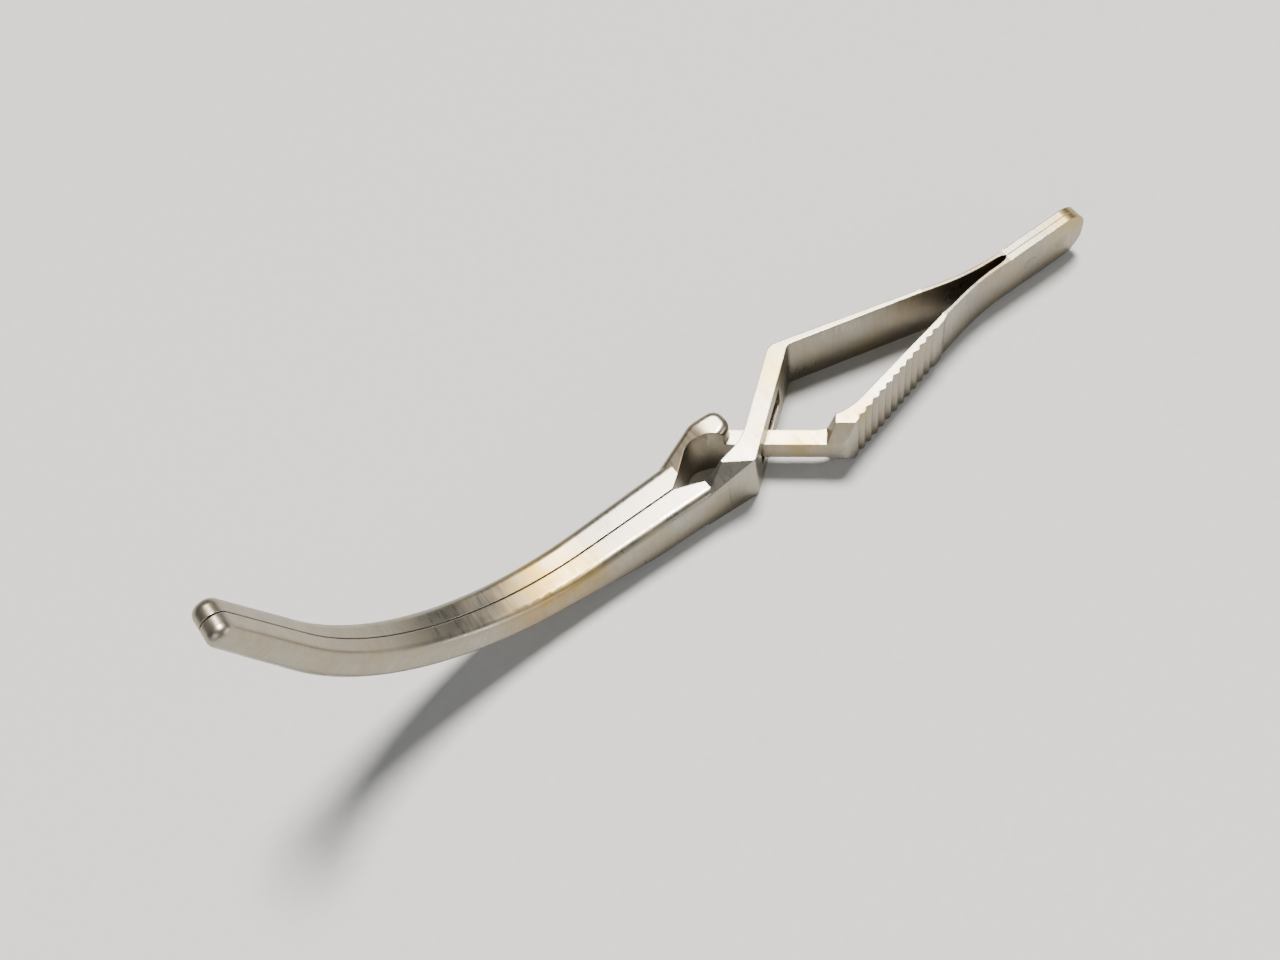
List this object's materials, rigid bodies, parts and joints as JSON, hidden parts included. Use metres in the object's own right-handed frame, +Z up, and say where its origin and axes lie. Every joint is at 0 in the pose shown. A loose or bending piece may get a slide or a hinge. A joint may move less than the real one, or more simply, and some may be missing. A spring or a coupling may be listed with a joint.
{
  "type": "bulldog clamp",
  "caption": "Cross-action spring clip for closing a small vessel, with long slim curved jaws, a toothed grip pad and a neck that slides in a slot.",
  "frame": {"origin": "bottom centre of the closed clamp's box, on the surface that it lies on", "axes": "+X from the tail to the jaws, +Y towards the toothed grip, +Z up, the way the jaws curve"},
  "size_m": [0.1028, 0.0136, 0.0373],
  "materials": {
    "satin_steel": "satin, fine cross brushing",
    "spring_steel": "satin spring leaf",
    "rivet_steel": "flush ground rivet ends"
  },
  "bodies": {
    "tail": {"tail_half_slotted": "satin_steel", "tail_half_necked": "satin_steel", "tail_rivets": "rivet_steel", "leaf_spring_slotted": "spring_steel", "leaf_spring_necked": "spring_steel"},
    "slotted_branch": {"slotted_arm": "satin_steel"},
    "necked_branch": {"necked_arm": "satin_steel"}
  },
  "joints": [
    {"name": "slotted_arm_flex", "type": "hinge", "parent": "tail", "child": "slotted_branch", "pos_m": [-0.0351, -0.00077, 0.004], "axis": [0, 0, 1], "range_deg": [0, 5.5], "stiffness_Nm_per_rad": 0.3, "springref_deg": -5.73, "deforming": ["leaf_spring_slotted"]},
    {"name": "necked_arm_flex", "type": "hinge", "parent": "tail", "child": "necked_branch", "pos_m": [-0.0351, 0.00107, 0.004], "axis": [0, 0, -1], "range_deg": [0, 5.5], "stiffness_Nm_per_rad": 0.3, "springref_deg": -5.73, "deforming": ["leaf_spring_necked"]}
  ],
  "couplings": [
    {"joint": "necked_arm_flex", "follows": "slotted_arm_flex", "ratio": 1}
  ]
}
